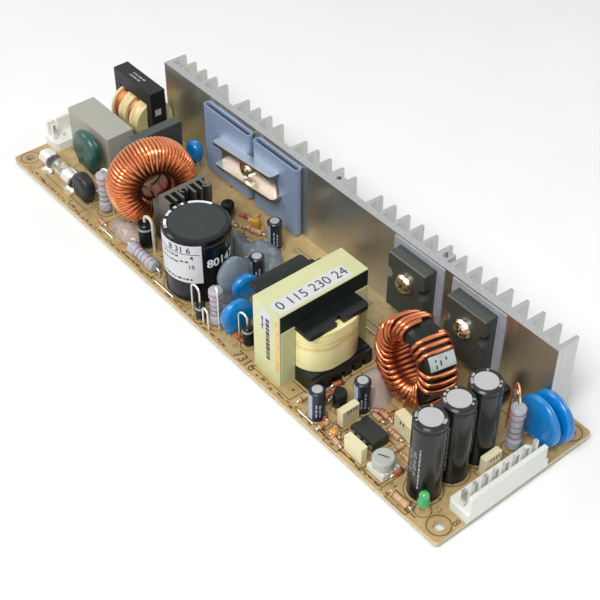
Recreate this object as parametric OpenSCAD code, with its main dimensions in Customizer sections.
// Open frame switch-mode power supply: a populated single-sided board with a finned
// heatsink along one long edge, an input header at one end and an output header at the other.
// Units are millimetres. Z = 0 is the underside of the board, +X points to the output end,
// +Y points to the heatsink, and X = Y = 0 is the middle of the mounting-hole pattern.

/* [Board] */
// length of the board along X
board_length = 222; // [221:1:236]
// width of the board along Y
board_width = 62; // [61.6:0.2:66]
// thickness of the board
board_thickness = 1.6; // [1.2:0.1:2.4]
// diameter of the four mounting holes
hole_diameter = 3.5; // [3:0.1:4.2]
// distance of a mounting hole from the short edge
hole_inset_x = 4; // [3.6:0.1:4.4]
// distance of a mounting hole from the long edge
hole_inset_y = 4.8; // [4.4:0.1:5.2]
// radius of the board corners
board_corner = 1.5; // [0.5:0.1:2.5]

/* [Heatsink] */
// length of the heatsink extrusion
sink_length = 188.8; // [182:0.2:189.2]
// height of the heatsink above the board
sink_height = 29.8; // [28.8:0.1:32]
// thickness of the heatsink back plate
sink_base = 2.6; // [2.2:0.1:3.2]
// how far each fin stands out from the plate
fin_depth = 6.2; // [5:0.1:6.6]
// thickness of a fin at its root
fin_root = 1.7; // [1.5:0.1:2.4]
// thickness of a fin at its tip
fin_tip = 1.1; // [0.8:0.1:1.4]
// number of fin positions along the heatsink
fin_count = 31; // [25:1:31]

/* [Connectors] */
// spacing of the header pins
pin_pitch = 3.96; // [3.8:0.02:4]
// pins in the output header
output_pins = 8; // [6:1:8]
// height of the header walls
header_wall_height = 9.2; // [7:0.1:10.5]
// height of the header base
header_base_height = 3.2; // [2.4:0.1:4]
// width of a square header pin
pin_width = 1.14; // [0.8:0.02:1.3]

/* [Input side] */
// diameter of the fuse end caps
fuse_diameter = 5.2; // [4.8:0.1:5.6]
// diameter of the dark varistor disc
varistor_diameter = 14.2; // [12:0.1:15]
// length of the box film capacitor
x_capacitor_length = 25.8; // [22:0.1:26]
// height of the box film capacitor
x_capacitor_height = 17; // [14:0.1:19]
// height of the input choke
choke_height = 24; // [23.6:0.1:26]
// width of the bridge rectifier
bridge_width = 22.7; // [20:0.1:23.5]
// height of the bridge rectifier body
bridge_height = 17; // [14:0.1:19]

/* [Power section] */
// outer radius of the large toroid winding
toroid_radius = 15.5; // [14.6:0.1:15.8]
// turns on the large toroid
toroid_turns = 84; // [60:2:86]
// diameter of the bulk capacitor
bulk_diameter = 22.2; // [20:0.1:22.8]
// height of the bulk capacitor
bulk_height = 25; // [22:0.5:29]
// height of the transformer core
transformer_height = 28; // [26:0.1:30]
// length of the transformer core along Y
transformer_length = 33.3; // [32.6:0.1:34]
// depth of the transformer core along X
transformer_depth = 12.8; // [12:0.1:13.4]

/* [Output side] */
// outer radius of the output toroid winding
choke_radius = 14; // [12.6:0.1:14.2]
// turns on the output toroid
choke_turns = 26; // [20:1:28]
// diameter of an output capacitor
output_cap_diameter = 9.8; // [8.6:0.1:10.1]
// height of an output capacitor
output_cap_height = 30; // [26:0.5:31]
// diameter of the blue disc capacitors
disc_diameter = 16.6; // [14:0.1:17.2]
// height of the power packages
package_height = 21; // [19:0.1:22]
// width of the power packages
package_width = 15.7; // [14:0.1:16.4]
// diameter of the adjuster knob
knob_diameter = 6.7; // [5.6:0.1:7]

/* [Hidden] */
fit = 0.1;                 // clearance between mating pieces
lead = 0.35;               // radius of an ordinary component lead
slim = 0.01;               // a straight run of a lead is this much thinner than its bend
lap = 0.03;                // and runs this far into the bend
bt = board_thickness;
hx = board_length / 2;
hy = board_width / 2;
hole_x = hx - hole_inset_x;
hole_y = hy - hole_inset_y;
joint_h = 1.1;             // height of the solder joints under the board
// a place along X as laid out on a 222 mm board, which keeps in step with the board's length
function along(x) = x * board_length / 222;

sink_x0 = along(5.8) - sink_length / 2;
sink_front = 22.8;         // front face of the heatsink plate
fin_pitch = (sink_length - fin_root) / (fin_count - 1);
fin_gone = [5, 10, 16];    // positions where the extrusion has no fin

cn_depth = 7.8;
cn_wall = 1.4;
cn_over = 0.4;             // how far a header wall stands over the board edge
cn_pin = 3.8;              // from the outer face of a header to the middle of its pins
pin_top = 9.2;             // height of the header pins
cn2_y0 = -18.1;
cn1_y0 = -15;
fuse_y = -24;
fuse_z = 5;
fuse_len = 20;
fuse_x0 = along(-88.8) - fuse_len / 2;
fuse_cap_len = 5;
thermistor_at = [fuse_x0 + fuse_len + 6, -24.2, 6.2];
thermistor_d = 9.2;
x_cap_at = [cn_depth + 0.4 - hx - cn_over + x_capacitor_length / 2, -5];
varistor_at = [x_cap_at[0] + 6.1, -15, 3.8 + varistor_diameter / 2];
bridge_t = 3.9;
bridge_at = [along(-69.35) - bridge_t / 2, -8.5, 2.5];

tor_c = [along(-49.8), -10.7, 16.1];
tor_az = -13;
tor_half = 6;
tor_wire = 0.8;
tor_bore = 7.6;            // radius of the innermost wire circle
out_c = [along(67.2), 1.4, 14.7];
out_az = -97;
out_el = 7;
out_half = 6.3;
out_wire = 1.3;
out_bore = 6.6;            // radius of the innermost wire circle

bulk_x = along(-13.3);
bulk_y = -18;
tr_x0 = along(33.9) - transformer_depth / 2;
tr_y0 = -27.1;
tr_leg = 5.1;
tr_yoke = 5.6;
tr_foot = 4.9;
choke_x0 = 5.4 - hx;
choke_y = 14.65;
choke_coil_z = 9.8;

pkg_x = [along(44.9), along(70)];
pkg_z0 = 6;
pkg_t = 4.9;
pad_t = 0.3;
pkg_screw_z = 19.4;
pkg_front = sink_front - pad_t - pkg_t;
sleeve_t = 3;
sleeve_wall = 0.6;
sleeve_front = sink_front - sleeve_t;
clamp_mid = [along(-34.9), 15.6];
sleeve_x = [[clamp_mid[0] - 26.9, clamp_mid[0] - 1], [clamp_mid[0] + 1.2, clamp_mid[0] + 24.6]];
sleeve_z = [[1, 27.6], [0.8, 27.9]];
small_x = along(-34);      // back face of the small heatsink plate
clamp_len = 34.6;
clamp_tilt = 5.5;

led_at = [hx - 10.5, -26];
out_cap_x = hx - 15.6;
out_cap_y = [-20.9, -10.6, -0.4];
chip_at = [along(72.2), -20.3];
chip_pitch = 2.54;
trimmer_at = [along(83.4), -25.2];
pair_at = [hx - 7.8, 15.7];                  // first of the two large blue discs
pair_gap = 4.3;                              // from the middle of one to the middle of the other
pair_turn = 7;

// moves its children to board coordinates with z measured from the top of the board
module on(x, y, z = 0) translate([x, y, bt + z]) children();

// a rounded rectangle, centred, made of squares and circles
module rsq(w, d, r) {
    square([w - 2 * r, d], center = true);
    square([w, d - 2 * r], center = true);
    for (sx = [-1, 1])
        for (sy = [-1, 1])
            translate([sx * (w / 2 - r), sy * (d / 2 - r)])
                circle(r, $fn = 24);
}

// part of a ring of wire in the XZ plane, from angle a0 above +X onwards
module ring_part(rr, r, a0, sweep) {
    rotate([90, 0, 0])
        rotate([0, 0, a0])
            rotate_extrude(angle = sweep, $fn = 24)
                translate([rr, 0])
                    circle(r, $fn = 14);
}

// a wire that stands on the board, arches over and comes down at a second point; z0 is the
// height at which its first leg starts
module hairpin(p, q, top, r = lead, z0 = 0) {
    d = norm([q[0] - p[0], q[1] - p[1]]) / 2;
    on(p[0], p[1], z0)
        cylinder(h = top - d - z0 + lap, r = r - slim, $fn = 14);
    on(q[0], q[1])
        cylinder(h = top - d + lap, r = r - slim, $fn = 14);
    on((p[0] + q[0]) / 2, (p[1] + q[1]) / 2, top - d)
        rotate([0, 0, atan2(q[1] - p[1], q[0] - p[0])])
            ring_part(d, r, 0, 180);
}

// a lead that rises from the board, bends over and runs level along +X at height z
module bent(run, z, r) {
    b = 2 * r;
    cylinder(h = z - b + lap, r = r - slim, $fn = 14);
    translate([b, 0, z - b])
        ring_part(b, r, 90, 90);
    translate([b - lap, 0, z])
        rotate([0, 90, 0])
            cylinder(h = run - b + lap, r = r - slim, $fn = 14);
}

// a round body standing on end with softened rims
module can(d, h, soft = 0.5) {
    rotate_extrude($fn = 48)
        polygon([[0, 0], [d / 2 - soft, 0], [d / 2, soft], [d / 2, h - soft],
            [d / 2 - soft, h], [0, h]]);
}

// dipped disc, axis along Y, rim rounded
module disc(d, t) {
    rotate([90, 0, 0])
        rotate_extrude($fn = 48) {
            translate([0, -t / 2])
                square([d / 2 - t / 2, t]);
            intersection() {
                translate([d / 2 - t / 2, 0])
                    circle(t / 2, $fn = 24);
                translate([0, -t])
                    square([d, 2 * t]);
            }
        }
}

// dumbbell-shaped resistor body along Z with thicker end caps
module resistor_body(l, d) {
    c = l * 0.24;
    rotate_extrude($fn = 32)
        polygon([[0, 0], [d * 0.38, 0], [d / 2, d * 0.14], [d / 2, c - d * 0.1],
            [d * 0.43, c], [d * 0.43, l - c], [d / 2, l - c + d * 0.1],
            [d / 2, l - d * 0.14], [d * 0.38, l], [0, l]]);
}

// ---- board and heatsink ----

module pcb() {
    color([0.78, 0.66, 0.42])
        difference() {
            linear_extrude(bt)
                rsq(board_length, board_width, board_corner);
            for (sx = [-1, 1])
                for (sy = [-1, 1])
                    translate([sx * hole_x, sy * hole_y, -1])
                        cylinder(h = bt + 2, d = hole_diameter, $fn = 48);
        }
}

// true when a list holds a value
function has(list, v) = len([for (a = list) if (a == v) a]) > 0;
// middle of fin i
function fin_x(i) = sink_x0 + fin_root / 2 + i * fin_pitch;

module sink_profile() {
    back = sink_front + sink_base;
    translate([sink_x0, sink_front])
        square([sink_length, sink_base]);
    for (i = [0:fin_count - 1])
        if (!has(fin_gone, i))
            polygon([[fin_x(i) - fin_root / 2, back - 0.2], [fin_x(i) + fin_root / 2, back - 0.2],
                [fin_x(i) + fin_tip / 2, back + fin_depth], [fin_x(i) - fin_tip / 2, back + fin_depth]]);
    // hooked rib beside the first fin
    translate([fin_x(0) + 3.4, back - 0.2]) {
        square([1.6, 2.4]);
        translate([-1.1, 1.6])
            square([2.7, 1]);
    }
    // solid web with a small bore
    difference() {
        translate([fin_x(14), back - 0.2])
            square([fin_pitch, 3.4]);
        translate([fin_x(14) + fin_pitch / 2, back + 1.6])
            circle(0.9, $fn = 24);
    }
    // open screw channel
    difference() {
        translate([fin_x(22) + 0.2, back - 0.2])
            square([fin_pitch * 0.62, 4.2]);
        translate([fin_x(22) + 0.2 + fin_pitch * 0.31, back + 2])
            circle(1.25, $fn = 24);
        translate([fin_x(22) + 0.2 + fin_pitch * 0.31 - 0.6, back + 2])
            square([1.2, 3]);
    }
}

module heatsink() {
    color([0.74, 0.74, 0.72])
        difference() {
            on(0, 0)
                linear_extrude(sink_height)
                    sink_profile();
            for (x = pkg_x)
                on(x, sink_front - 1, pkg_screw_z)
                    rotate([-90, 0, 0])
                        cylinder(h = sink_base + 0.4, d = 3.2, $fn = 24);
            on(clamp_mid[0], sink_front - 1, clamp_mid[1])
                rotate([-90, 0, 0])
                    cylinder(h = sink_base + 0.4, d = 3.2, $fn = 24);
        }
}

// ---- headers ----

// header standing along +Y from its first pin; side is the outward direction in X
module header(n, y0, side) {
    edge = hx + cn_over;
    y1 = y0 - 2;
    l = (n - 1) * pin_pitch + 4;
    px = edge - cn_pin;
    difference() {
        union() {
            on(side > 0 ? edge - cn_depth : -edge, y1)
                cube([cn_depth, l, header_base_height]);
            on(side > 0 ? edge - cn_wall : -edge, y1 + 1)
                cube([cn_wall, l - 2.2, header_wall_height]);
        }
        for (i = [0:n - 1])
            on(side * px, y0 + i * pin_pitch, 1)
                cube([pin_width + 2 * fit, pin_width + 2 * fit, 30], center = true);
        // chamfered base corner
        on(side * (edge - cn_depth), y1)
            rotate([0, 0, 45])
                cube([1.6, 1.6, 20], center = true);
        on(side * (edge - cn_depth), y1 + l)
            rotate([0, 0, 45])
                cube([1.6, 1.6, 20], center = true);
        // two slots down the wall
        if (side < 0)
            for (y = [y1 + 4.2, y1 + l - 6])
                on(-edge - 1, y, header_base_height + 1)
                    cube([cn_wall + 2, 0.9, header_wall_height]);
    }
}

module input_connector() color([0.88, 0.87, 0.82]) header(5, cn1_y0, -1);

module output_connector() color([0.9, 0.89, 0.84]) header(output_pins, cn2_y0, 1);

module connector_pins() {
    px = hx + cn_over - cn_pin;
    color([0.8, 0.8, 0.78]) {
        for (i = [0:output_pins - 1])
            on(px - pin_width / 2, cn2_y0 + i * pin_pitch - pin_width / 2)
                cube([pin_width, pin_width, pin_top]);
        for (i = [0, 2, 4])
            on(-px - pin_width / 2, cn1_y0 + i * pin_pitch - pin_width / 2)
                cube([pin_width, pin_width, pin_top]);
    }
}

// ---- input side ----

module fuse_clips() {
    ro = fuse_diameter / 2 + 0.45;
    color([0.8, 0.8, 0.8])
        for (x = [fuse_x0 + 0.3, fuse_x0 + fuse_len - fuse_cap_len])
            on(x, fuse_y)
                rotate([90, 0, 90])
                    linear_extrude(fuse_cap_len - 0.3)
                        difference() {
                            union() {
                                translate([0, fuse_z])
                                    circle(ro, $fn = 32);
                                translate([-1.2, 0])
                                    square([2.4, fuse_z]);
                                translate([-3, 0])
                                    square([6, 0.5]);
                            }
                            translate([0, fuse_z])
                                circle(ro - 0.4, $fn = 32);
                            translate([-1.5, fuse_z])
                                square([3, ro + 1]);
                        }
}

module fuse_glass() {
    color([0.8, 0.85, 0.85])
        on(fuse_x0 + fuse_cap_len, fuse_y, fuse_z)
            rotate([0, 90, 0])
                cylinder(h = fuse_len - 2 * fuse_cap_len, d = fuse_diameter - 0.5, $fn = 32);
}

module fuse_caps() {
    color([0.75, 0.75, 0.75])
        for (x = [fuse_x0, fuse_x0 + fuse_len - fuse_cap_len])
            on(x, fuse_y, fuse_z)
                rotate([0, 90, 0])
                    cylinder(h = fuse_cap_len, d = fuse_diameter, $fn = 32);
}

module thermistor() {
    color([0.1, 0.1, 0.11])
        on(thermistor_at[0], thermistor_at[1], thermistor_at[2])
            disc(thermistor_d, 4);
}

module varistor() {
    color([0.08, 0.27, 0.23])
        on(varistor_at[0], varistor_at[1], varistor_at[2])
            disc(varistor_diameter, 5);
}

module x_capacitor() {
    color([0.68, 0.68, 0.63])
        on(x_cap_at[0], x_cap_at[1])
            linear_extrude(x_capacitor_height)
                rsq(x_capacitor_length, 11, 0.5);
}

module choke_core() {
    color([0.13, 0.13, 0.12])
        on(choke_x0, choke_y - 3.05)
            rotate([90, 0, 0])
                mirror([0, 0, 1])
                    linear_extrude(6.1)
                        difference() {
                            translate([0, choke_coil_z - 2.8])
                                square([23.6, choke_height - choke_coil_z + 2.8]);
                            translate([3.2, choke_coil_z + 2.8])
                                square([17.2, choke_height - 5.6 - choke_coil_z - 2.8]);
                        }
}

// flanged former on the lower leg of the core, with two feet down to the board
module choke_bobbin() {
    r = 7.8;
    color([0.85, 0.82, 0.62])
        difference() {
            union() {
                for (x = [3.3, 11.2, 19.1])
                    on(choke_x0 + x, choke_y, choke_coil_z)
                        rotate([0, 90, 0])
                            cylinder(h = 1.1, r = r, $fn = 40);
                on(choke_x0 + 3.3, choke_y, choke_coil_z)
                    rotate([0, 90, 0])
                        cylinder(h = 16.9, r = 5.2, $fn = 40);
                for (x = [3.3, 19.1])
                    on(choke_x0 + x, choke_y - 4)
                        cube([1.1, 8, 5]);
            }
            on(choke_x0 - 1, choke_y - 3.15, choke_coil_z - 2.9)
                cube([26, 6.3, 5.8]);
        }
}

// two wound sections, each with taped and bare turns
module choke_winding() {
    color([0.8, 0.45, 0.25])
        for (s = [[4.6, 6.4], [12.5, 6.4]])
            for (k = [0:7])
                on(choke_x0 + s[0] + k * 0.8, choke_y, choke_coil_z)
                    rotate([0, 90, 0])
                        difference() {
                            union() {
                                cylinder(h = 0.8, r = 7.1, $fn = 40);
                                translate([0, 0, 0.15])
                                    cylinder(h = 0.5, r = 7.5, $fn = 40);
                            }
                            translate([0, 0, -0.5])
                                cylinder(h = 2, r = 5.3, $fn = 40);
                        }
}

module bridge_rectifier() {
    c = 3;
    color([0.2, 0.21, 0.22])
        on(bridge_at[0], bridge_at[1], bridge_at[2])
            rotate([90, 0, 90])
                linear_extrude(bridge_t)
                    polygon([[0, 0], [bridge_width, 0], [bridge_width, bridge_height],
                        [c, bridge_height], [0, bridge_height - c]]);
}

// ---- windings ----

// eight corners of the wire loop round a toroid section, as [radius, height]
function loop8(ri, ro, h, c) = [[ro, c - h], [ro, h - c], [ro - c, h], [ri + c, h],
    [ri, h - c], [ri, c - h], [ri + c, -h], [ro - c, -h]];
// outward direction at each of the eight corners
function out8() = [for (a = [[1, -0.4], [1, 0.4], [0.4, 1], [-0.4, 1], [-1, 0.4], [-1, -0.4],
    [-0.4, -1], [0.4, -1]]) a / norm(a)];
// wire loop of turn t: odd turns lie over the even ones inside the bore and on the faces
function loop_of(t, ri, ro, h, lift) = (t % 2 == 1 && lift > 0)
    ? [[ro, 1.2 - h], [ro, h - 1.2], [ro - 1.6, h + lift], [ri + 0.4, h + lift],
        [ri - lift, h - 0.6], [ri - lift, 0.6 - h], [ri + 0.4, -h - lift], [ro - 1.6, -h - lift]]
    : loop8(ri, ro, h, 1.2);
// point of the winding at turn t, corner k, with the angle of that turn
function wpt(p, a) = [p[0] * cos(a), p[0] * sin(a), p[1]];
function wnm(n, a) = [n[0] * cos(a), n[0] * sin(a), n[1]];

// one continuous wire wound round a toroid whose axis is Z; ang lists the turn angles
module torus_wire(ang, ri, ro, h, w, lift, sides) {
    n = len(ang) - 1;
    path = [for (t = [0:n - 1]) let (l = loop_of(t, ri, ro, h, lift))
        for (k = [0:7]) wpt(l[k], ang[t] + (ang[t + 1] - ang[t]) * k / 8)];
    norms = [for (t = [0:n - 1]) for (k = [0:7])
        wnm(out8()[k], ang[t] + (ang[t + 1] - ang[t]) * k / 8)];
    m = len(path);
    tan = [for (i = [0:m - 1]) let (v = path[min(i + 1, m - 1)] - path[max(i - 1, 0)]) v / norm(v)];
    ring = [for (i = [0:m - 1]) let (b0 = cross(tan[i], norms[i]), b = b0 / norm(b0),
        c = cross(b, tan[i])) for (s = [0:sides - 1])
        path[i] + (cos(s * 360 / sides) * c + sin(s * 360 / sides) * b) * w / 2];
    side_faces = [for (i = [0:m - 2]) for (s = [0:sides - 1]) let (q = (s + 1) % sides)
        each [[i * sides + s, (i + 1) * sides + s, (i + 1) * sides + q],
            [i * sides + s, (i + 1) * sides + q, i * sides + q]]];
    ends = [[for (s = [0:sides - 1]) s], [for (s = [sides - 1:-1:0]) (m - 1) * sides + s]];
    polyhedron(points = ring, faces = concat(side_faces, ends), convexity = 10);
}

// puts a toroid built about Z into place: axis turned to azimuth az, raised by el
module stand(c, az, el) on(c[0], c[1], c[2]) rotate([0, 90 - el, az]) children();

// ring core with chamfered rims, axis along Z
module ring_core(ri, ro, h, c) {
    rotate_extrude($fn = 64)
        polygon([[ri + c, -h], [ro - c, -h], [ro, c - h], [ro, h - c], [ro - c, h], [ri + c, h],
            [ri, h - c], [ri, c - h]]);
}

module toroid_core() {
    color([0.16, 0.13, 0.11])
        stand(tor_c, tor_az, 0)
            ring_core(tor_bore + tor_wire / 2 + fit, toroid_radius - tor_wire - fit,
                tor_half - 2 * tor_wire - fit, 1.1);
}

module toroid_winding() {
    span = 348;
    color([0.85, 0.45, 0.26])
        stand(tor_c, tor_az, 0)
            torus_wire([for (i = [0:toroid_turns]) 186 + i * span / toroid_turns], tor_bore,
                toroid_radius - tor_wire / 2, tor_half - 1.5 * tor_wire, tor_wire, tor_wire, 4);
}

module output_choke_core() {
    color([0.12, 0.12, 0.12])
        stand(out_c, out_az, out_el)
            ring_core(out_bore + out_wire / 2 + fit, choke_radius - out_wire - fit,
                out_half - out_wire - fit, 1.1);
}

module output_choke_winding() {
    color([0.85, 0.42, 0.22])
        stand(out_c, out_az, out_el)
            torus_wire([for (i = [0:choke_turns]) 200 + i * 340 / choke_turns], out_bore,
                choke_radius - out_wire / 2, out_half - out_wire / 2, out_wire, 0, 6);
}

// ---- glue ----

// mound of clear glue beside a piece at c: overlapping balls [x, y, z, r], flat on the board
module mound(c, balls) {
    intersection() {
        union()
            for (b = balls)
                on(c[0] + b[0], c[1] + b[1], b[2])
                    sphere(b[3], $fn = 32);
        on(-200, -200)
            cube([400, 400, 40]);
    }
}

module toroid_glue() {
    color([0.8, 0.75, 0.7])
        difference() {
            mound(tor_c, [[-4.7, -11.6, 0.6, 3.2], [-0.8, -12.7, 1, 3.4], [3.2, -13.2, 0.8, 3],
                [5.8, -11.9, 0.4, 2.6]]);
            stand(tor_c, tor_az, 0)
                cylinder(h = 2 * tor_half + 0.4, r = toroid_radius + 0.3, center = true, $fn = 64);
        }
}

module silicone_glue() {
    buried = discs[0];
    color([0.66, 0.7, 0.74])
        difference() {
            union() {
                on(bulk_x + 14, bulk_y + 3, 9.6)
                    rotate([0, 0, 84])
                        disc(14.2, 4.2);
                mound([bulk_x, bulk_y], [[-10.2, 22.4, 0.4, 3], [-6.1, 20.4, 0.8, 3.4],
                    [-1.5, 19, 1.2, 3.7], [3.7, 21.4, 1.6, 4.4], [3.5, 26, 0.8, 4],
                    [8.7, 22.2, 1.4, 4.2], [9.5, 18, 2, 4.6], [13.9, 9.6, 2.2, 4.4],
                    [14.5, 14.6, 1, 3.4], [13.9, 3.6, 1.6, 3.2]]);
            }
            on(bulk_x, bulk_y, -1)
                cylinder(h = 40, d = bulk_diameter + 0.2, $fn = 48);
            for (c = [small_cans[2], small_cans[3]])
                on(c[0], c[1], -1)
                    cylinder(h = 40, d = c[2] + 0.2, $fn = 32);
            on(buried[0], buried[1], buried[2])
                rotate([0, 0, buried[3]])
                    disc(buried[4] + 2 * fit, buried[5] + 2 * fit);
            for (y = [-2, 2])
                on(buried[0], buried[1] + y, -1)
                    cylinder(h = 10, r = lead + fit, $fn = 14);
        }
}

module output_choke_glue() {
    color([0.72, 0.7, 0.68])
        difference() {
            mound(out_c, [[-11, -6, 1.6, 3.2], [-7.8, -8.4, 2, 3.8], [-4.8, -10, 1, 3.2],
                [-11.6, -9.4, 0.8, 2.8]]);
            stand(out_c, out_az, out_el)
                cylinder(h = 2 * out_half + 0.6, r = choke_radius + 0.3, center = true, $fn = 64);
            on(small_cans[1][0], small_cans[1][1], -1)
                cylinder(h = 40, d = small_cans[1][2] + 0.4, $fn = 32);
        }
}

// ---- power section ----

// small black extrusion: front fin, two fins, a screw channel, two fins and a hooked last fin
module small_heatsink() {
    w = 17.2;
    t = 1.7;
    reach = 4.6;
    channel = 8;
    color([0.1, 0.1, 0.1])
        on(small_x, -18.2)
            linear_extrude(23) {
                square([t, w]);
                for (y = [0, 2.5, 5.2, 9.9, 12.4])
                    translate([t - 0.1, y])
                        square([reach, 0.9]);
                translate([t - 0.1, w - 2.4])
                    square([3.2, 0.9]);
                translate([t + 3, w - 1.5])
                    intersection() {
                        difference() {
                            circle(1.8, $fn = 32);
                            circle(0.9, $fn = 32);
                        }
                        translate([0, -2])
                            square([2, 4]);
                    }
                difference() {
                    translate([t + 0.9, channel])
                        circle(1.5, $fn = 24);
                    translate([t + 1.1, channel])
                        circle(0.8, $fn = 24);
                    translate([t + 1.1, channel - 0.4])
                        square([3, 0.8]);
                    translate([-1, channel - 3])
                        square([1 + t / 2, 6]);
                }
            }
}

// package screwed flat to the back of the small heatsink
module heatsink_transistor() {
    color([0.16, 0.16, 0.16])
        on(small_x - 4.25, -17.9, 3.4)
            difference() {
                cube([4.2, 10, 15.2]);
                translate([-0.6, 5, 12])
                    rotate([0, 90, 0])
                        cylinder(h = 1.2, d = 3.4, $fn = 24);
            }
}

module bulk_capacitor() {
    r = bulk_diameter / 2;
    color([0.08, 0.08, 0.09])
        on(bulk_x, bulk_y, 0.3)
            rotate_extrude($fn = 64)
                polygon([[0, 0], [r - 0.8, 0], [r, 0.8], [r, bulk_height - 2.6],
                    [r - 0.35, bulk_height - 2.1], [r - 0.35, bulk_height - 1.6],
                    [r, bulk_height - 1.1], [r - 0.3, bulk_height - 0.3], [r - 0.9, bulk_height],
                    [r - 2.6, bulk_height], [r - 2.9, bulk_height - 0.5], [0, bulk_height - 0.5]]);
}

module bulk_capacitor_disc() {
    color([0.3, 0.31, 0.31])
        on(bulk_x, bulk_y, bulk_height - 0.2)
            cylinder(h = 0.35, r = bulk_diameter / 2 - 3, $fn = 64);
}

module insulating_sleeves() {
    color([0.5, 0.56, 0.68])
        difference() {
            for (i = [0, 1])
                let (w = sleeve_x[i][1] - sleeve_x[i][0])
                    on(sleeve_x[i][0] + w / 2, sleeve_front + sleeve_t / 2, sleeve_z[i][0])
                        linear_extrude(sleeve_z[i][1] - sleeve_z[i][0])
                            difference() {
                                rsq(w, sleeve_t, 1.4);
                                rsq(w - 2 * sleeve_wall, sleeve_t - 2 * sleeve_wall, 0.8);
                            }
            on(clamp_mid[0], sleeve_front - 1, clamp_mid[1])
                rotate([-90, 0, 0])
                    cylinder(h = sleeve_t + 2, d = 3.3, $fn = 24);
        }
}

// channel-shaped bar held by one screw, pressing both sleeves to the heatsink
module clamp_bar() {
    l = clamp_len;
    color([0.7, 0.69, 0.66])
        on(clamp_mid[0], sleeve_front, clamp_mid[1])
            rotate([0, -clamp_tilt, 0])
                difference() {
                    union() {
                        translate([-l / 2 + 2, -1, -5])
                            cube([l - 4, 1, 10]);
                        for (z = [-5, 4])
                            translate([-l / 2 + 1, -3.9, z])
                                linear_extrude(1)
                                    polygon([[0, 0.8], [0.8, 0], [l - 2.8, 0], [l - 2, 0.8],
                                        [l - 2, 3.9], [0, 3.9]]);
                    }
                    rotate([90, 0, 0])
                        cylinder(h = 10, d = 3.3, center = true, $fn = 24);
                }
}

// pan head screw pointing to +Y with its seat at the origin
module screw(l) {
    rotate([90, 0, 0]) {
        rotate_extrude($fn = 32)
            polygon([[0, 0], [3.3, 0], [3.3, 0.9], [2.7, 1.8], [1.6, 2.2], [0, 2.2]]);
        translate([0, 0, -l])
            cylinder(h = l + 0.2, d = 3, $fn = 24);
    }
}

module package_screws() {
    color([0.8, 0.72, 0.5])
        difference() {
            union() {
                for (x = pkg_x)
                    on(x, pkg_front, pkg_screw_z)
                        screw(sink_front - pkg_front + sink_base - 0.8);
                on(clamp_mid[0], sleeve_front - 1, clamp_mid[1])
                    screw(sink_front - sleeve_front + sink_base + 0.2);
            }
            for (s = [[pkg_x[0], pkg_front, pkg_screw_z, 35], [pkg_x[1], pkg_front, pkg_screw_z, 10],
                [clamp_mid[0], sleeve_front - 1, clamp_mid[1], 60]])
                on(s[0], s[1] - 2.4, s[2])
                    for (k = [0, 90])
                        rotate([0, s[3] + k, 0])
                            cube([3.4, 2.4, 0.7], center = true);
        }
}

module power_packages() {
    w = package_width;
    h = package_height;
    color([0.17, 0.18, 0.18])
        for (x = pkg_x)
            on(x, pkg_front, pkg_z0)
                difference() {
                    translate([-w / 2, 0, 0])
                        cube([w, pkg_t, h]);
                    translate([-w / 2 - 1, -1, h - 1])
                        rotate([35, 0, 0])
                            cube([w + 2, 3, 3]);
                    translate([0, -1, pkg_screw_z - pkg_z0])
                        rotate([-90, 0, 0])
                            cylinder(h = 10, d = 3.5, $fn = 24);
                    for (s = [-1, 1])
                        translate([s * w / 2, -1, h - 8])
                            rotate([-90, 0, 0])
                                cylinder(h = pkg_t - 1.2, d = 4.4, $fn = 24);
                }
}

module thermal_pads() {
    color([0.6, 0.63, 0.7])
        for (x = pkg_x)
            on(x - 10.8, sink_front - pad_t, 1.2)
                difference() {
                    cube([21.6, pad_t, 27.8]);
                    translate([10.8, -1, pkg_screw_z - 1.2])
                        rotate([-90, 0, 0])
                            cylinder(h = 3, d = 3.5, $fn = 24);
                }
}

// ---- transformer ----
tr_xm = tr_x0 + transformer_depth / 2;
tr_ym = tr_y0 + transformer_length / 2;
tr_win_w = transformer_length - 2 * tr_leg;          // window between the outer legs
tr_flange_z = transformer_height - tr_yoke;          // underside of the top yoke

module transformer_core() {
    color([0.13, 0.13, 0.13])
        on(tr_x0, tr_ym)
            difference() {
                translate([0, -transformer_length / 2, 0])
                    cube([transformer_depth, transformer_length, transformer_height]);
                translate([-1, -tr_win_w / 2, tr_foot])
                    cube([transformer_depth + 2, tr_win_w, tr_flange_z - tr_foot]);
            }
}

module transformer_bobbin() {
    w = tr_win_w - 2 * fit;
    color([0.1, 0.11, 0.11])
        on(tr_xm, tr_ym)
            difference() {
                union() {
                    // top flange
                    translate([0, 0, tr_flange_z - 1.7])
                        linear_extrude(1.7 - fit)
                            rsq(26.8, w, 1.2);
                    // bottom flange through the window
                    translate([-14, -w / 2, tr_foot + fit])
                        cube([28, w, 0.8]);
                    // pin rails on both sides
                    for (s = [-1, 1])
                        translate([s > 0 ? transformer_depth / 2 + fit : -15.4, -w / 2, 0])
                            cube([15.4 - transformer_depth / 2 - fit, w, tr_foot + 0.4]);
                    // raised rims beside the core
                    for (s = [-1, 1])
                        translate([s * 7.4 - 0.5, -w / 2, tr_flange_z - 1.7])
                            cube([0.4, w, 1.6]);
                }
                // notches in the top flange
                for (s = [-1, 1])
                    translate([s * 13.4, 0, tr_flange_z])
                        cube([4.4, 2.6, 5], center = true);
                // grooves between the pins
                for (s = [-1, 1])
                    for (k = [-2:2])
                        translate([s * 15.4, k * 4, 0])
                            cube([3, 1.2, 6], center = true);
            }
}

module transformer_winding() {
    z0 = tr_foot + fit + 0.8;
    color([0.88, 0.85, 0.6])
        on(tr_xm, tr_ym, z0)
            linear_extrude(tr_flange_z - 1.7 - z0)
                rsq(29.2, tr_win_w - 0.6, 9);
}

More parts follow.
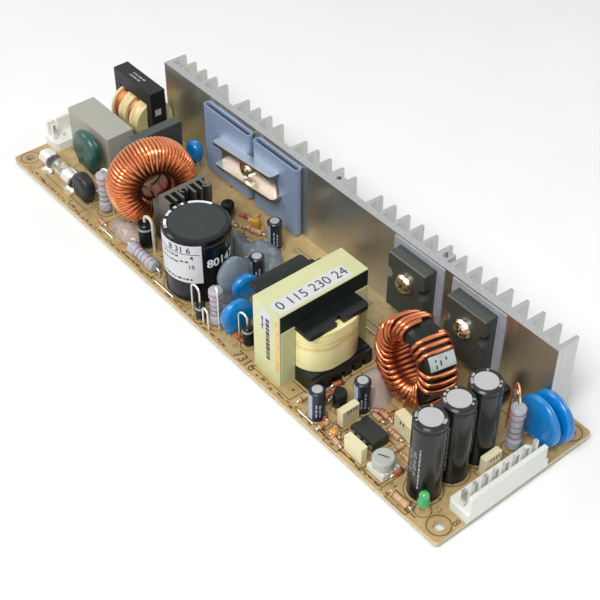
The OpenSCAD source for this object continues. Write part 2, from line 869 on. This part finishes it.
// tape wound over the core, front flaps over the two outer legs
module transformer_tape() {
    t = 0.25;
    color([0.88, 0.86, 0.6])
        on(tr_x0, tr_ym) {
            difference() {
                translate([0.2, -transformer_length / 2 - t, 0])
                    cube([transformer_depth - 0.4, transformer_length + 2 * t,
                        transformer_height + t]);
                translate([-1, -transformer_length / 2, -1])
                    cube([transformer_depth + 2, transformer_length, transformer_height + 1]);
            }
            for (s = [-1, 1])
                translate([transformer_depth, s * (transformer_length - tr_leg) / 2 - tr_leg / 2, 0])
                    cube([t, tr_leg, tr_flange_z - 0.4]);
        }
}

// ---- capacitors ----

module output_capacitors() {
    d = output_cap_diameter;
    h = output_cap_height;
    color([0.14, 0.15, 0.14])
        for (y = out_cap_y)
            on(out_cap_x, y)
                rotate_extrude($fn = 48)
                    polygon([[0, 0], [d / 2 - 0.4, 0], [d / 2, 0.4], [d / 2, h - 2.4],
                        [d / 2 - 0.3, h - 1.9], [d / 2, h - 1.4], [d / 2, h - 0.5],
                        [d / 2 - 0.5, h], [d / 2 - 1.2, h], [d / 2 - 1.4, h - 0.4], [0, h - 0.4]]);
}

module output_capacitor_tops() {
    color([0.85, 0.85, 0.85])
        for (y = out_cap_y)
            on(out_cap_x, y, output_cap_height - 0.4)
                cylinder(h = 0.3, r = output_cap_diameter / 2 - 1.45, $fn = 40);
}

// [x, y, diameter, height] of the small electrolytic cans
small_cans = [[along(56), -26.4, 5, 11.5], [along(62.1), -14.4, 5, 12.2],
    [along(-0.4), -4.4, 5, 12], [along(-11.4), 11.6, 5, 11.2]];

module small_capacitors() {
    color([0.12, 0.13, 0.2])
        for (c = small_cans)
            on(c[0], c[1])
                can(c[2], c[3], 0.35);
}

module small_capacitor_tops() {
    color([0.82, 0.82, 0.78])
        for (c = small_cans)
            on(c[0], c[1], c[3])
                cylinder(h = 0.15, r = c[2] / 2 - 0.9, $fn = 32);
}

// [x, y, angle, length, width, height] of the cream box capacitors
film_boxes = [[along(63.2), -20.6, 90, 6.6, 2.4, 6], [along(74.3), -27.5, 0, 7.4, 2.4, 5.8],
    [along(77.6), -10.8, -7, 8.4, 3.4, 6], [hx - 9.2, -1.7, 90, 6.6, 2.3, 6.2]];

module film_capacitors() {
    color([0.9, 0.87, 0.68])
        for (b = film_boxes)
            on(b[0], b[1], 0.4)
                rotate([0, 0, b[2]])
                    linear_extrude(b[5])
                        rsq(b[3], b[4], 0.25);
}

module controller_chip() {
    color([0.12, 0.12, 0.13])
        on(chip_at[0], chip_at[1], 0.7)
            difference() {
                translate([-4.8, -3.1, 0])
                    cube([9.6, 6.2, 3.3]);
                for (s = [-1, 1])
                    translate([-6, s * 3.1, 1.6])
                        rotate([s * -12, 0, 0])
                            translate([0, s > 0 ? 0 : -2, 0])
                                cube([12, 2, 3]);
                translate([-4.8, 0, 3.3])
                    cylinder(h = 1.2, d = 1.6, center = true, $fn = 24);
            }
}

module chip_legs() {
    color([0.75, 0.75, 0.72])
        for (i = [0:3])
            for (s = [-1, 1])
                on(chip_at[0] + (i - 1.5) * chip_pitch - 0.7, chip_at[1] + (s > 0 ? 3.12 : -3.42))
                    cube([1.4, 0.3, 2.2]);
}

module trimmer_base() {
    color([0.9, 0.9, 0.88])
        on(trimmer_at[0], trimmer_at[1], 0.4)
            difference() {
                translate([-3.2, -3.3, 0])
                    cube([6.6, 6.6, 2.2]);
                for (k = [-2:1])
                    translate([3.4, k * 1.5 + 0.9, 1.4])
                        cube([1.2, 0.7, 2], center = true);
            }
}

module trimmer_knob() {
    d = knob_diameter;
    color([0.78, 0.79, 0.77])
        on(trimmer_at[0] - 0.1, trimmer_at[1] + 0.1, 2.6)
            difference() {
                rotate_extrude($fn = 48)
                    polygon([[0, 0], [d / 2 - 0.2, 0], [d / 2 - 0.2, 0.4], [d / 2, 0.5], [d / 2, 3.2],
                        [d / 2 - 0.4, 3.7], [0, 3.7]]);
                translate([0, 0, 3.8])
                    rotate([0, 0, 30])
                        cube([3.4, 0.7, 0.8], center = true);
            }
}

module indicator_led() {
    color([0.4, 0.8, 0.5])
        on(led_at[0], led_at[1], 3)
            union() {
                cylinder(h = 1, r = 1.75, $fn = 32);
                cylinder(h = 3.2, r = 1.5, $fn = 32);
                translate([0, 0, 3.2])
                    sphere(1.5, $fn = 32);
            }
}

// [x, y, z, turn, diameter, thickness] of the blue dipped discs
discs = [[along(6.2), -14.4, 9.4, 88, 9.4, 3], [along(13.4), -22.8, 7.4, 84, 12, 3.2],
    [along(-63.4), 16.6, 8.6, 0, 7, 3.6]];

module ceramic_discs() {
    color([0, 0.45, 0.82]) {
        for (d = discs)
            on(d[0], d[1], d[2])
                rotate([0, 0, d[3]])
                    disc(d[4], d[5]);
        for (y = [0, pair_gap])
            on(pair_at[0] + y * 0.3, pair_at[1] + y, 1 + disc_diameter / 2)
                rotate([0, 0, -pair_turn])
                    disc(disc_diameter, 3.3);
    }
}

// ---- resistors and diodes ----

// upright power resistors as [x, y, z0, length, diameter], then how far away the looped lead
// comes down, [dx, dy], and the height of its loop
upright = [[along(-63.3), -21.7, 1, 15.4, 4.5, 3.1, 1.1, 18.6],
    [along(6.4), -25.7, 1, 14, 4.5, 3.2, -1.5, 17],
    [hx - 10.5, 8.9, 1, 16.6, 4.6, -3.5, 1.9, 21]];
// lying power resistor as [x0, y, z, length, diameter]
flat_r = [along(-32.8) - 7, -26.9, 2.5, 14, 4.4];

module power_resistors() {
    color([0.6, 0.63, 0.66]) {
        for (r = upright)
            on(r[0], r[1], r[2])
                resistor_body(r[3], r[4]);
        on(flat_r[0], flat_r[1], flat_r[2])
            rotate([0, 90, 0])
                resistor_body(flat_r[3], flat_r[4]);
    }
}

// lying signal resistors as [x, y, angle, length, diameter]
flat_s = [[hx - 16.4, -29, 0, 6.2, 2.2], [small_cans[1][0] + 5.9, -13.7, 0, 3.6, 1.8],
    [small_cans[1][0] + 6.5, -11.4, 0, 3.6, 1.8], [along(76.6), -14.4, 0, 3.6, 1.8],
    [along(54.2), -17.6, 90, 3.6, 1.8], [along(52.4), -21.4, 90, 4, 2],
    [along(57.8), -18.9, 90, 3.6, 1.8], [along(64.6), -26.2, -25, 3.6, 1.8],
    [along(67), -28.9, -8, 4, 1.8], [along(-20.6), 10.6, 20, 5, 2.2],
    [along(-30.4), 7.2, 0, 4, 1.8], [along(-29.2), 2.6, 90, 3.6, 1.8]];

module small_resistors() {
    color([0.72, 0.42, 0.3])
        for (r = flat_s)
            on(r[0], r[1], r[4] / 2 + 0.3)
                rotate([0, 90, r[2]])
                    translate([0, 0, -r[3] / 2])
                        resistor_body(r[3], r[4]);
}

// upright diodes, with the same eight values as the upright resistors
up_d = [[tor_c[0] + 11.2, -21.6, 1.4, 9.2, 5, 4, 0.4, 13.6],
    [along(1.2), -28.2, 1, 5.4, 3.4, -4.2, 0, 12.6],
    [along(20), -23.9, 1, 7, 3.4, -3.6, -0.6, 12.4]];

module diodes() {
    color([0.07, 0.07, 0.08])
        for (d = up_d)
            on(d[0], d[1], d[2])
                can(d[4], d[3], 0.3);
}

// ---- bare leads and solder ----

// height at which a lead x off the middle meets a round body of radius r centred at height z
function under(z, r, x) = z - sqrt(r * r - pow(abs(x) - lead, 2)) - 0.05;
// feet of straight leads as [x, y, height]
straight = concat(
    [for (x = [-2.5, 2.5]) [thermistor_at[0] + x, thermistor_at[1],
        under(thermistor_at[2], thermistor_d / 2, x)]],
    [for (x = [-3.6, 3.6]) [varistor_at[0] + x, varistor_at[1],
        under(varistor_at[2], varistor_diameter / 2, x)]],
    [for (k = [0:3]) [bridge_at[0] + 2, bridge_at[1] + 4 + k * bridge_width * 0.22,
        bridge_at[2] - 0.05]],
    [for (y = [-2, 2]) [discs[0][0], discs[0][1] + y, under(discs[0][2], discs[0][4] / 2, y)]],
    [for (y = [-3.4, 3.4]) [discs[1][0], discs[1][1] + y, under(discs[1][2], discs[1][4] / 2, y)]],
    [for (x = [-1.8, 1.8]) [discs[2][0] + x, discs[2][1], under(discs[2][2], discs[2][4] / 2, x)]],
    [for (y = [0, pair_gap]) for (x = [-4, 4]) [pair_at[0] + 0.3 * y + x * cos(pair_turn),
        pair_at[1] + y - x * sin(pair_turn), under(1 + disc_diameter / 2, disc_diameter / 2, x)]],
    [for (r = concat(upright, up_d)) [r[0], r[1], r[2] - 0.05]],
    [for (y = [-15.4, -12.9, -10.4]) [small_x - 2.2, y, 3.35]],
    [for (k = [-0.9, 0.9]) [led_at[0] + k, led_at[1] + k, 2.95]]);

module component_leads() {
    color([0.78, 0.76, 0.7]) {
        for (s = straight)
            on(s[0], s[1])
                cylinder(h = s[2], r = lead, $fn = 14);
        // looped leads of the upright parts
        for (r = concat(upright, up_d))
            hairpin([r[0], r[1]], [r[0] + r[5], r[1] + r[6]], r[7], lead, r[2] + r[3] + 0.05);
        // wire link beside the middle resistor
        hairpin([upright[1][0] - 2.4, upright[1][1] - 3.5],
            [upright[1][0] + 0.8, upright[1][1] - 3.9], 8);
        // lying power resistor
        on(flat_r[0] - 2.2, flat_r[1])
            bent(2.15, flat_r[2], lead);
        on(flat_r[0] + flat_r[3] + 2.2, flat_r[1])
            rotate([0, 0, 180])
                bent(2.15, flat_r[2], lead);
        // lying signal resistors
        for (r = flat_s)
            for (s = [-1, 1])
                on(r[0], r[1])
                    rotate([0, 0, r[2] + (s > 0 ? 180 : 0)])
                        translate([-r[3] / 2 - 1.1, 0, 0])
                            bent(1.05, r[4] / 2 + 0.3, 0.25);
    }
}

// points where something passes through the board
joints = concat([for (s = straight) [s[0], s[1], 1.3]],
    [for (i = [0:output_pins - 1]) [hx + cn_over - cn_pin, cn2_y0 + i * pin_pitch, 1.7]],
    [for (i = [0, 2, 4]) [cn_pin - hx - cn_over, cn1_y0 + i * pin_pitch, 1.7]],
    [for (y = [-2.5, 2.5]) for (x = [fuse_x0 + 2.6, fuse_x0 + 17.6]) [x, fuse_y + y, 1.3]],
    [for (i = [-1.5:1.5]) for (s = [-1, 1]) [chip_at[0] + i * chip_pitch, chip_at[1] + s * 3.8, 0.9]],
    [for (c = small_cans) for (s = [-1, 1]) [c[0] + s, c[1], 0.9]],
    [for (y = out_cap_y) for (s = [-1, 1]) [out_cap_x, y + s * 2.5, 1.3]],
    [for (s = [-1, 1]) [bulk_x + s * 5, bulk_y, 1.9]],
    [for (s = [-1, 1]) for (k = [-2:2]) [tr_xm + s * 13, tr_ym + k * 4 + 2, 1.3]],
    [for (s = [-1, 1]) [x_cap_at[0] + s * (x_capacitor_length / 2 - 1.9), x_cap_at[1], 1.4]],
    [for (s = [-1, 1]) for (k = [-1, 1]) [choke_x0 + 12 + s * 8, choke_y + k * 5, 1.3]],
    [for (x = pkg_x) for (k = [-1:1]) [x + k * 5.45, 20, 1.6]]);

module solder_joints() {
    color([0.75, 0.76, 0.78])
        for (j = joints)
            translate([j[0], j[1], -joint_h])
                cylinder(h = joint_h, r1 = j[2] * 0.5, r2 = j[2], $fn = 20);
}

pcb();
heatsink();
input_connector();
output_connector();
connector_pins();
fuse_clips();
fuse_glass();
fuse_caps();
thermistor();
varistor();
x_capacitor();
choke_core();
choke_bobbin();
choke_winding();
bridge_rectifier();
toroid_core();
toroid_winding();
toroid_glue();
small_heatsink();
heatsink_transistor();
bulk_capacitor();
bulk_capacitor_disc();
insulating_sleeves();
clamp_bar();
package_screws();
power_packages();
thermal_pads();
transformer_core();
transformer_bobbin();
transformer_winding();
transformer_tape();
silicone_glue();
output_choke_core();
output_choke_winding();
output_choke_glue();
output_capacitors();
output_capacitor_tops();
small_capacitors();
small_capacitor_tops();
film_capacitors();
controller_chip();
chip_legs();
trimmer_base();
trimmer_knob();
indicator_led();
ceramic_discs();
power_resistors();
small_resistors();
diodes();
component_leads();
solder_joints();
